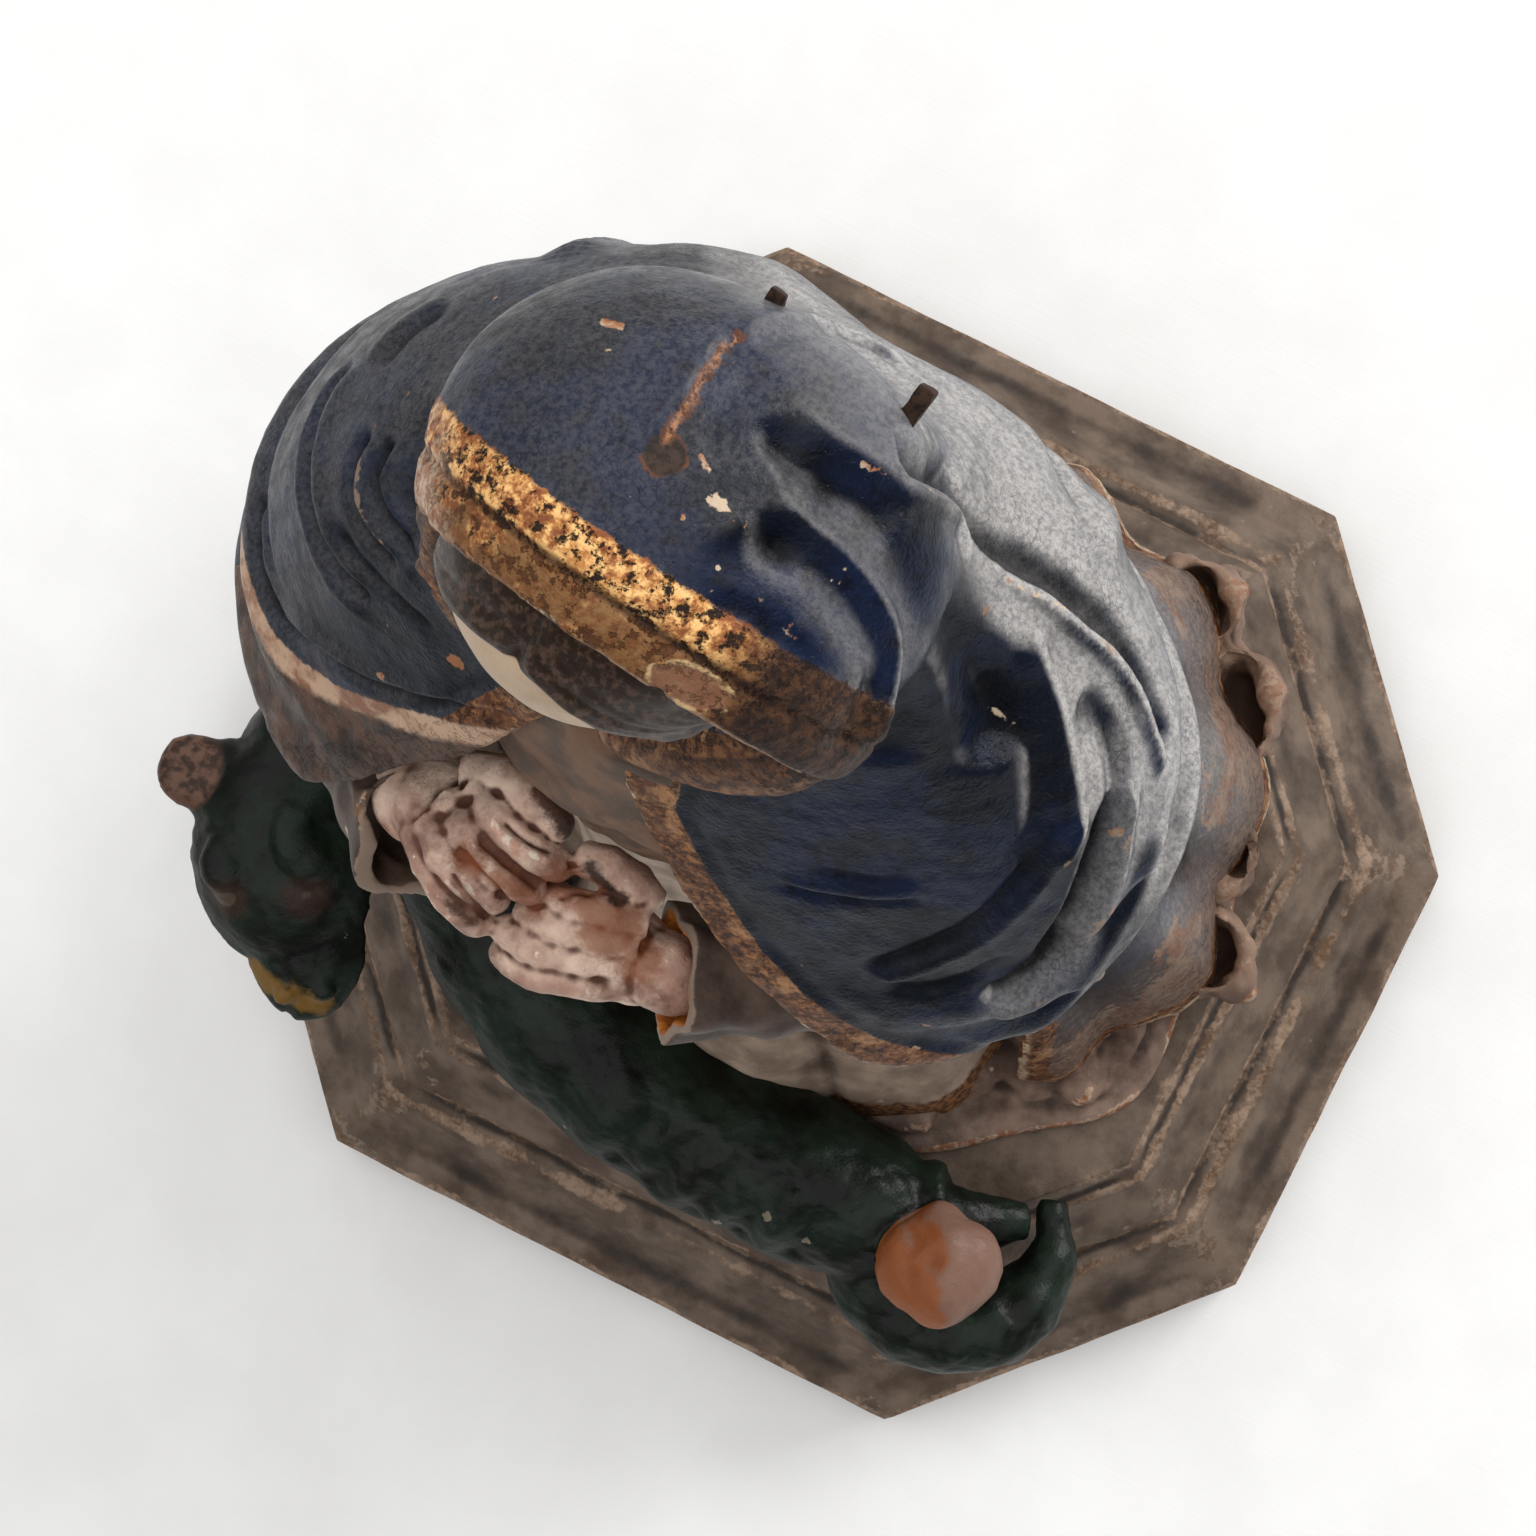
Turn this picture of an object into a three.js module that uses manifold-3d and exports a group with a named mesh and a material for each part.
// A small carved and painted wooden statue: a veiled woman in a long cloak stands on a low
// ground, with a dragon lying across the front, on an eight-sided moulded plinth. Two forged
// nail stubs at the back of the head are left from a lost halo.
// Millimetres, +Z up. The front faces -Y and the statue's own left is +X.

import * as THREE from 'three';
import { mergeVertices } from 'three/addons/utils/BufferGeometryUtils.js';
import Module from 'manifold-3d';

const wasm = await Module();
wasm.setup();

// Driving dimensions

const GAP = 0.3;                          // clearance between separate pieces
const FINEST = 0.1;                       // edges shorter than this are closed up
const PLINTH = { halfLength: 122, halfDepth: 110, sideCut: 49.5, frontCut: 67, top: 50 };
const PLINTH_STEPS = [[1.5, 0], [0, 1.2], [0, 15], [2, 17], [9, 23], [16, 30], [19, 30.6],
  [20, 32.5], [26, 39], [30, 45.2], [31.6, 45.6], [33, 47], [34, 50]];
const GROUND = { x: -4, y: 8, halfX: 70, halfY: 52, height: 17 };
const HEAD = { x: -16.5, y: 11, z: 439, turn: 16, nod: 20, halfX: 23.5, halfY: 27.5, halfZ: 33 };
const VEIL = { left: 38, right: 33, halfY: 32.5, halfZ: 35.5, rimFront: 11, rimTurn: 8, rimThick: 4.5 };
const NAIL = { size: 3, hole: 3.7 };
const NAILS = [
  { name: 'halo_nail_right', x: -17.3, y: 31, z: 443, shown: 16.5 },
  { name: 'halo_nail_left', x: 3.6, y: 27, z: 443, shown: 18 },
];
const DRAGON = { body: 16.5, neck: 12.5, tail: 9 };
const APPLE = { x: 62, y: -72, z: 82, radius: 12.2 };

// Cloak: height, centre x, centre y, then its reach to the left, right, back and front.
const CLOAK = [[52, 0, 12, 84, 78, 76, 56], [80, 0, 12, 78, 74, 69, 54], [115, -2, 11, 69, 68, 59, 48],
  [165, -6, 10, 63, 64, 51, 44], [215, -10, 9, 65, 67, 47, 44], [258, -13, 8, 71, 74, 45, 50],
  [290, -14.5, 8, 75, 78, 45, 60], [306, -14.5, 8, 75.5, 77, 46.5, 58], [330, -13.5, 9, 72.5, 73, 48, 45],
  [352, -13, 10, 65, 67, 47.5, 35], [370, -13.5, 11, 55, 57, 44.5, 27], [384, -14, 12, 46, 45, 39.5, 21],
  [398, -14.5, 12.5, 40, 37, 35, 15], [414, -15.5, 13, 37, 33.5, 32, 10], [432, -16, 13, 34, 30.5, 30, 7],
  [448, -16.5, 14, 20, 20, 22, 5]];

// Dress: the same five reaches for the inner robe.
const DRESS = [[52, 0, 4, 62, 60, 40, 66], [66, 0, 4, 58, 56, 40, 62], [100, -3, 4, 46, 46, 40, 46],
  [150, -6, 4, 40, 42, 40, 36], [200, -9, 4, 38, 40, 40, 34], [250, -12, 4, 33, 33, 36, 28],
  [290, -13, 4, 30, 29, 34, 25], [318, -13, 4, 36, 35, 34, 30], [345, -13, 4, 38, 37, 30, 30],
  [366, -12, 5, 31, 31, 24, 24], [382, -12.5, 7, 18, 18, 18, 17], [396, -14, 8, 13.5, 13.5, 15, 12.5],
  [424, -16, 12, 13.5, 13.5, 14, 12.5]];

// Front opening of the cloak: height, right edge x, left edge x, how far back it reaches.
const OPENING = [[40, -50, 60, -22], [120, -50, 54, -18], [200, -54, 48, -16], [262, -62, 46, -14],
  [286, -69, 46, -16], [298, -67, 40, -18], [312, -58, 27, -17], [330, -48, 9, -13],
  [350, -36, -5, -9], [366, -29, -14, -6], [378, -23, -18, -4]];

// Helpers

const sin = Math.sin;
const cos = Math.cos;
const vec = (x, y, z) => new THREE.Vector3(x, y, z);
const clamp = THREE.MathUtils.clamp;
const smooth = THREE.MathUtils.smoothstep;
const bell = (value, centre, width) => Math.exp(-(((value - centre) / width) ** 2));

// A smooth reading of a table of sizes: the row for a height between two listed heights.
function through(height, table) {
  const h = clamp(height, table[0][0], table[table.length - 1][0]);
  let i = 0;
  while (i < table.length - 2 && table[i + 1][0] < h) i += 1;
  const slope = (k, c) => {
    const a = Math.max(k - 1, 0);
    const b = Math.min(k + 1, table.length - 1);
    return (table[b][c] - table[a][c]) / (table[b][0] - table[a][0]);
  };
  const span = table[i + 1][0] - table[i][0];
  const t = (h - table[i][0]) / span;
  return table[i].map((value, c) => (c === 0 ? h
    : (2 * t ** 3 - 3 * t ** 2 + 1) * value + (t ** 3 - 2 * t ** 2 + t) * span * slope(i, c)
      + (3 * t ** 2 - 2 * t ** 3) * table[i + 1][c] + (t ** 3 - t ** 2) * span * slope(i + 1, c)));
}

function toSolid(geometry) {
  const bare = geometry.clone();
  bare.deleteAttribute('normal');
  bare.deleteAttribute('uv');
  const merged = mergeVertices(bare, 1e-3);
  return new wasm.Manifold(new wasm.Mesh({
    numProp: 3,
    vertProperties: new Float32Array(merged.attributes.position.array),
    triVerts: new Uint32Array(merged.index.array),
    tolerance: FINEST,
  }));
}

function toMesh(solid, name, color, roughness, metalness = 0) {
  const raw = solid.getMesh();
  const geometry = new THREE.BufferGeometry();
  geometry.setAttribute('position', new THREE.BufferAttribute(raw.vertProperties, 3));
  geometry.setIndex(new THREE.BufferAttribute(raw.triVerts, 1));
  geometry.computeVertexNormals();
  const material = new THREE.MeshStandardMaterial({ color, roughness, metalness });
  const mesh = new THREE.Mesh(geometry, material);
  mesh.name = name;
  return mesh;
}

// Moves every vertex of a geometry to place(vertex).
function reshape(geometry, place) {
  const position = geometry.attributes.position;
  for (let i = 0; i < position.count; i += 1) {
    const p = place(vec(position.getX(i), position.getY(i), position.getZ(i)));
    position.setXYZ(i, p.x, p.y, p.z);
  }
  return geometry;
}

// A closed skin round an upright axis: point(angle, height share, 0 at the cap's middle or 1).
function skin(columns, rows, point) {
  const drum = new THREE.CylinderGeometry(1, 1, 1, columns, rows);
  return toSolid(reshape(drum, (v) => {
    const angle = (Math.atan2(v.x, v.z) + 2 * Math.PI) % (2 * Math.PI);
    return point(angle, v.y + 0.5, Math.hypot(v.x, v.z) > 0.5 ? 1 : 0);
  }));
}

// A ball stretched to three half sizes, turned and set in place.
function ball(halfX, halfY, halfZ, x, y, z, turnX = 0, turnY = 0, turnZ = 0, columns = 14, rows = 9) {
  const geometry = new THREE.SphereGeometry(1, columns, rows);
  geometry.scale(halfX, halfY, halfZ);
  geometry.rotateX(turnX).rotateY(turnY).rotateZ(turnZ).translate(x, y, z);
  return toSolid(geometry);
}

// A round limb along a smooth curve, its radius read along the way.
function limb(points, radius, columns, rows, grow = 0) {
  const curve = new THREE.CatmullRomCurve3(points.map((p) => vec(...p)));
  const frames = curve.computeFrenetFrames(rows);
  return skin(columns, rows, (angle, share, edge) => {
    const at = curve.getPointAt(share);
    const k = Math.round(share * rows);
    const r = edge * (radius(share, angle) + grow);
    return at.addScaledVector(frames.normals[k], r * cos(angle))
      .addScaledVector(frames.binormals[k], r * sin(angle));
  });
}

const join = (parts) => parts.reduce((whole, part) => whole.add(part));

// The one body of a carving, without the crumbs that a cut can leave.
const largest = (solid) => solid.decompose().sort((a, b) => b.volume() - a.volume())[0];

// Plinth

function plinthCorners(inset) {
  const run = Math.hypot(PLINTH.halfDepth - PLINTH.sideCut, PLINTH.halfLength - PLINTH.frontCut);
  const nx = (PLINTH.halfDepth - PLINTH.sideCut) / run;
  const ny = (PLINTH.halfLength - PLINTH.frontCut) / run;
  const reach = nx * PLINTH.halfLength + ny * PLINTH.sideCut - inset;
  const x = PLINTH.halfLength - inset;
  const y = PLINTH.halfDepth - inset;
  const side = (reach - nx * x) / ny;
  const front = (reach - ny * y) / nx;
  return [[x, side], [front, y], [-front, y], [-x, side], [-x, -side], [-front, -y], [front, -y], [x, -side]];
}

function plinthSolid(grow = 0) {
  const rows = PLINTH_STEPS.length - 1;
  return skin(8, rows, (angle, share, edge) => {
    const [inset, z] = PLINTH_STEPS[Math.round(share * rows)];
    const [x, y] = plinthCorners(inset - grow)[Math.round(angle / (Math.PI / 4)) % 8];
    return vec(edge * x, edge * y, z + (z > 40 ? grow : 0));
  });
}

// Cloak: long fluted folds below the arms, swags that hang round the upper arms.

function outline(angle, row, power) {
  const [, x, y, left, right, back, front] = row;
  const reachX = cos(angle) >= 0 ? left : right;
  const reachY = sin(angle) >= 0 ? back : front;
  const reach = ((Math.abs(cos(angle)) / reachX) ** power + (Math.abs(sin(angle)) / reachY) ** power)
    ** (-1 / power);
  return { x, y, reach };
}

function cloakFolds(angle, z) {
  const turn = angle - Math.PI / 2;
  const side = Math.abs(Math.atan2(sin(turn), cos(turn)));
  const lower = smooth(290 - z, 0, 170) * (0.5 + 0.5 * smooth(130 - z, 0, 70));
  const pleat = Math.abs(sin(6.5 * turn + 0.5 * sin(z / 70) * sin(turn) + 0.3 * sin(3 * turn)));
  const flutes = lower * 7.5 * (pleat - 0.55);
  const arm = bell(side, 1.55, 0.7) * smooth(z, 276, 300) * smooth(386 - z, 0, 22);
  const sag = 13 * (side - 1.6) ** 2;
  const swag = arm * 2.6 * sin((2 * Math.PI * (z - sag)) / 20.8);
  const back = bell(side, 0, 0.9) * smooth(z, 200, 300) * smooth(400 - z, 0, 60);
  const spine = back * 2.2 * sin(6.2 * turn + (330 - z) / 38);
  const drape = 1.8 * smooth(z, 376, 396) * sin(9 * turn + 1.2) * (0.4 + 0.6 * bell(side, 1.2, 0.8));
  const shoulderValley = -5 * bell(angle, 0.95, 0.22) * bell(z, 380, 26);
  const fullBack = 3.5 * bell(angle, 2.1, 0.45) * bell(z, 325, 55);
  return flutes + swag + spine + drape + shoulderValley + fullBack;
}

const CLOAK_ROWS = [];
for (let z = 52; z < 276; z += 18.67) CLOAK_ROWS.push(z);
for (let z = 276; z < 390; z += 5.2) CLOAK_ROWS.push(z);
for (let z = 390; z <= 448; z += 11.6) CLOAK_ROWS.push(z);

function cloakPoint(angle, z, edge = 1) {
  const { x, y, reach } = outline(angle, through(z, CLOAK), 2.15);
  const r = edge * (reach + cloakFolds(angle, z));
  return vec(x + r * cos(angle), y + r * sin(angle), z);
}

function cloakSolid() {
  const rows = CLOAK_ROWS.length - 1;
  return skin(45, rows, (turn, share, edge) => {
    const angle = turn + 0.28 * cos(turn);
    return cloakPoint(angle, CLOAK_ROWS[Math.round(share * rows)], edge);
  });
}

function openingSolid() {
  const block = new THREE.BoxGeometry(1, 1, 1, 1, 1, 16);
  return toSolid(reshape(block, (v) => {
    const z = 40 + (v.z + 0.5) * 336;
    const [, right, left, depth] = through(z, OPENING);
    return vec(v.x < 0 ? right : left, v.y < 0 ? -130 : depth, z);
  }));
}

// Dress: soft upright folds from the belt down, gathered round the waist.

function dressSolid() {
  const rows = 12;
  return skin(26, rows, (angle, share, edge) => {
    const z = 52 + share * 372;
    const { x, y, reach } = outline(angle, through(z, DRESS), 2.2);
    const turn = angle + Math.PI / 2;
    const skirt = smooth(285 - z, 0, 120) * (0.4 + 0.6 * smooth(150 - z, 0, 90));
    const pleat = skirt * 5.5 * (Math.abs(sin(5 * turn + 0.5 * sin(z / 60) + 0.4)) - 0.55);
    const knee = 7 * bell(angle, 4.45, 0.35) * bell(z, 165, 45);
    const belt = -2.5 * bell(z, 293, 8);
    const r = edge * (reach + pleat + knee + belt);
    return vec(x + r * cos(angle), y + r * sin(angle), z);
  });
}

// Head: turned to the statue's right and bent forward. Local x is its left, y its back, z its crown.

const headFrame = new THREE.Matrix4().makeTranslation(HEAD.x, HEAD.y, HEAD.z)
  .multiply(new THREE.Matrix4().makeRotationZ(THREE.MathUtils.degToRad(-HEAD.turn)))
  .multiply(new THREE.Matrix4().makeRotationX(THREE.MathUtils.degToRad(HEAD.nod)));
const inHead = (geometry) => toSolid(geometry.applyMatrix4(headFrame));

// The carved face and hair on an oval: how far each place stands out from it.
function faceRelief(x, z) {
  const spot = (cx, cz, wide, tall) => bell(x, cx, wide) * bell(z, cz, tall);
  const pair = (cx, cz, wide, tall) => spot(cx, cz, wide, tall) + spot(-cx, cz, wide, tall);
  const nose = 6.5 * bell(x, 0, 2.4 + 0.12 * clamp(4 - z, 0, 14)) * smooth(6 - z, 0, 15) * smooth(z, -13.5, -9.5);
  const sockets = -2.6 * pair(8.6, 1.5, 5.2, 4) + 1.7 * pair(9, 0, 4.2, 2.8);
  const mouth = 1.5 * spot(0, -16.5, 5.5, 2.2) + 2.6 * spot(0, -25.5, 6.5, 4.5);
  const outsideFace = smooth(Math.hypot(x / 18.5, (z + 7) / 23), 0.94, 1.08);
  const waves = 1.2 + 0.7 * sin(0.9 * z + 0.25 * Math.abs(x)) - 1.2 * bell(x, 0, 1.6);
  return (nose + sockets + mouth) * (1 - outsideFace) + waves * outsideFace;
}

function headSolid() {
  const oval = new THREE.SphereGeometry(1, 26, 22);
  oval.rotateX(Math.PI / 2);
  reshape(oval, (v) => {
    const around = Math.atan2(v.x, -v.y);
    const closer = around - 0.55 * sin(around);
    const ring = Math.hypot(v.x, v.y);
    const jaw = 1 - 0.22 * smooth(-v.z, 0.1, 1);
    const x = ring * sin(closer) * HEAD.halfX * jaw;
    const z = v.z * HEAD.halfZ;
    const out = cos(closer) > 0 ? faceRelief(x, z) * cos(closer) : 1;
    return vec(x, -ring * cos(closer) * HEAD.halfY - (ring > 0.01 ? out : 0), z);
  });
  return inHead(oval);
}

// The veil hangs wider on the statue's left. Its front is cut to a rim and hollowed round the face.
function veilSolid() {
  const dome = new THREE.SphereGeometry(1, 24, 14);
  dome.rotateX(Math.PI / 2);
  reshape(dome, (v) => {
    const fold = sin(4 * Math.atan2(v.x, v.y) + 2.2 * v.z) * (1 - v.z * v.z);
    const wide = v.x > 0 ? VEIL.left : VEIL.right;
    return vec(v.x * (wide + fold), v.y * (VEIL.halfY + fold) + 1, v.z * VEIL.halfZ);
  });
  const turn = THREE.MathUtils.degToRad(VEIL.rimTurn);
  const front = new THREE.BoxGeometry(120, 80, 120).translate(0, -VEIL.rimFront - 40, 0).rotateZ(turn);
  const hollow = new THREE.SphereGeometry(1, 16, 10)
    .scale((VEIL.left + VEIL.right) / 2 - VEIL.rimThick, 26, VEIL.halfZ - VEIL.rimThick)
    .translate((VEIL.left - VEIL.right) / 2, -VEIL.rimFront + 2, -1)
    .rotateZ(turn);
  return inHead(dome).subtract(inHead(front)).subtract(inHead(hollow));
}

// Sleeves and clasped hands

function sleevesSolid() {
  const right = limb([[-76, -4, 290], [-66, -18, 286], [-55, -29, 288], [-45, -36, 297]],
    (share) => 11.5 + 2.5 * share, 12, 7);
  const left = limb([[54, -8, 290], [36, -26, 291], [17, -37, 300], [2, -42, 308]],
    (share) => 12.5 - 2.5 * share, 12, 7);
  return join([right, left]);
}

// The right hand lies over the left; each has four fingers and a thumb.
function handsSolid() {
  const parts = [
    ball(12.5, 10, 8.5, -36, -35, 313, 0, -0.2, -0.3, 12, 8),
    ball(12, 9, 8, -9, -42, 310, 0, 0.2, -0.15, 12, 8),
  ];
  for (let i = 0; i < 4; i += 1) {
    parts.push(limb([[-37 + 2.4 * i, -43 + 4.6 * i, 315 + i], [-27 + 2.2 * i, -46 + 4.4 * i, 318 + i],
      [-17 + 1.8 * i, -47.5 + 4 * i, 314 + i]], (share) => 3.5 - share, 6, 4));
    parts.push(limb([[-12, -47 + 3.6 * i, 310 + i], [-20, -49 + 3.6 * i, 312], [-27, -49 + 3.6 * i, 308]],
      (share) => 3.4 - share, 6, 3));
  }
  parts.push(limb([[-34, -29, 317], [-26, -29, 322], [-19, -31, 322]], (share) => 3.6 - share, 6, 3));
  return join(parts);
}

// The veil's two bordered edges run from the rim down over the shoulders and cross on the chest.
function veilEdgesSolid() {
  const left = limb([[12, 10, 440], [18, 3, 421], [13, -6, 405], [1, -11, 392], [-14, -11, 379], [-24, -6, 367]],
    (share) => 5.5 + 3 * sin(Math.PI * share), 8, 8);
  const right = limb([[-40, 12, 438], [-45, 5, 421], [-44, -2, 405], [-38, -6, 388], [-30, -5, 371]],
    (share) => 5 + 1.5 * sin(Math.PI * share), 8, 6);
  return join([left, right]);
}

// Dragon: a thick ridged body along the front edge, a neck that rises at the right, and a tail coil.

function dragonSolid(grow = 0) {
  const ridge = (share) => 1.1 * Math.abs(sin(share * 34)) - 0.4;
  const body = limb([[74, -56, 64], [54, -66, 67], [26, -69, 68], [-4, -68, 68], [-30, -62, 69],
    [-52, -50, 72], [-70, -34, 82], [-86, -26, 95], [-97, -32, 104], [-95, -46, 107]],
  (share) => (4 + (DRAGON.body - 4) * smooth(share, 0, 0.2)
    - (DRAGON.body - DRAGON.neck) * smooth(share, 0.5, 0.85) + ridge(share)), 10, 26, grow);
  const coil = limb([[77, -50, 61], [82, -62, 61], [78, -77, 61], [64, -85, 62], [50, -80, 64], [47, -68, 68], [58, -60, 70]],
    (share) => 3 + (DRAGON.tail - 3) * smooth(share, 0, 0.35), 8, 13, grow);
  const skull = ball(18.5 + grow, 24 + grow, 14 + grow, -92, -55, 107, 0.12, 0, 0.5, 12, 8);
  const snout = ball(11.5 + grow, 17 + grow, 9 + grow, -81, -69, 103, 0.25, 0, 0.5, 10, 7);
  const ear = ball(6.5 + grow, 8 + grow, 6.5 + grow, -114, -50, 112, 0, 0, -0.6, 8, 6);
  const earRoot = ball(7 + grow, 6 + grow, 6 + grow, -107, -52, 110, 0, 0, 0, 8, 6);
  const otherEar = ball(5.5 + grow, 7 + grow, 7 + grow, -80, -40, 114, 0, 0, 0.4, 8, 6);
  const browRight = ball(5 + grow, 6 + grow, 4 + grow, -101, -62, 117, 0, 0, 0.5, 8, 6);
  const browLeft = ball(5 + grow, 6 + grow, 4 + grow, -86, -54, 118, 0, 0, 0.5, 8, 6);
  const apple = ball(APPLE.radius + grow, APPLE.radius + grow, APPLE.radius * 0.92 + grow,
    APPLE.x, APPLE.y, APPLE.z, 0, 0, 0, 14, 9);
  return join([body, coil, skull, snout, ear, earRoot, otherEar, browRight, browLeft, apple]);
}

// Low ground under the figure, with small rounded lumps round its edge.

function groundSolid() {
  const rows = 3;
  return skin(30, rows, (angle, share, edge) => {
    const z = PLINTH.top + GAP + share * GROUND.height;
    const lump = 3.5 * sin(7 * angle + 1) * sin(3 * angle);
    const shrink = 1 - 0.28 * share * share;
    return vec(GROUND.x + edge * (GROUND.halfX + lump) * shrink * cos(angle),
      GROUND.y + edge * (GROUND.halfY + lump) * shrink * sin(angle), z);
  });
}

// Nails: square forged stubs that stand backwards out of square holes.

function nailSolid(nail, size, start) {
  const bar = new THREE.BoxGeometry(size, nail.shown - start, size);
  bar.translate(0, (nail.shown + start) / 2, 0).rotateX(0.3).rotateZ(-0.12);
  return toSolid(bar.translate(nail.x, nail.y, nail.z));
}

// Assembly

const group = new THREE.Group();
const floorBlock = toSolid(new THREE.BoxGeometry(400, 400, 100).translate(0, 0, PLINTH.top + GAP - 50));
const plinth = plinthSolid();
const nailHoles = join(NAILS.map((nail) => nailSolid(nail, NAIL.hole, -GAP)));
const figure = join([
  cloakSolid().subtract(openingSolid()),
  dressSolid(), groundSolid(), veilSolid(), headSolid(), veilEdgesSolid(), sleevesSolid(), handsSolid(),
]).subtract(floorBlock).subtract(dragonSolid(GAP)).subtract(nailHoles);
const dragon = dragonSolid().subtract(plinthSolid(GAP));

group.add(toMesh(plinth, 'plinth', '#4a4038', 0.7));
group.add(toMesh(largest(figure), 'figure', '#1b2440', 0.45));
group.add(toMesh(largest(dragon), 'dragon', '#1d2a22', 0.5));
for (const nail of NAILS) {
  group.add(toMesh(nailSolid(nail, NAIL.size, 0), nail.name, '#3a2f2a', 0.75, 0.6));
}

export default group;
